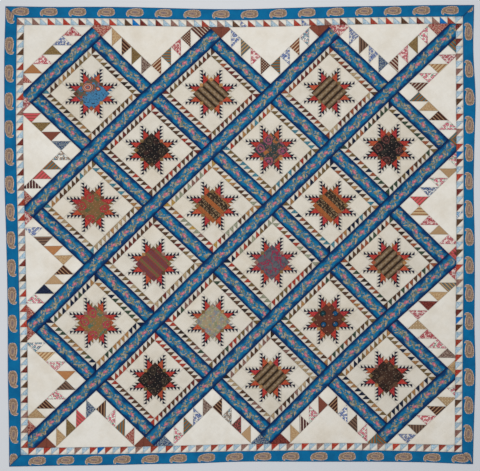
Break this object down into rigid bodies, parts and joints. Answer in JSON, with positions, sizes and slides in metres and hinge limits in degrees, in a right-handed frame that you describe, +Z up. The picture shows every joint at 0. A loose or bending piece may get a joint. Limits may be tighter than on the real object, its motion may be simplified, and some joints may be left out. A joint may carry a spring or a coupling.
{
  "type": "star quilt blanket",
  "caption": "Square pieced quilt lying flat: feathered stars set on point between blue floral strips, framed by a sawtooth border and a blue paisley border.",
  "frame": {"origin": "centre of the bounding box on the underside, where the quilt rests", "axes": "+Z up out of the face, +Y towards the top edge in the picture, +X towards its right edge"},
  "size_m": [2.6761, 2.6206, 0.0044],
  "materials": {
    "star_patchwork": "matte quilted cotton patchwork",
    "sash_print": "matte printed cotton",
    "corner_patchwork": "matte quilted cotton patchwork",
    "sawtooth_patchwork": "matte cotton patchwork",
    "paisley_print": "matte printed cotton"
  },
  "bodies": {
    "root": {"block_row_1": "star_patchwork", "block_row_2": "star_patchwork", "block_row_3": "star_patchwork", "block_row_4": "star_patchwork", "block_row_5": "star_patchwork", "block_row_6": "star_patchwork", "long_sash_1": "sash_print", "long_sash_2": "sash_print", "long_sash_3": "sash_print", "long_sash_4": "sash_print", "long_sash_5": "sash_print", "long_sash_6": "sash_print", "long_sash_7": "sash_print", "corner_triangle_top_left": "corner_patchwork", "corner_triangle_bottom_right": "corner_patchwork", "sawtooth_border_top": "sawtooth_patchwork", "sawtooth_border_right": "sawtooth_patchwork", "sawtooth_border_bottom": "sawtooth_patchwork", "sawtooth_border_left": "sawtooth_patchwork", "paisley_border_top": "paisley_print", "paisley_border_right": "paisley_print", "paisley_border_bottom": "paisley_print", "paisley_border_left": "paisley_print"}
  },
  "joints": []
}
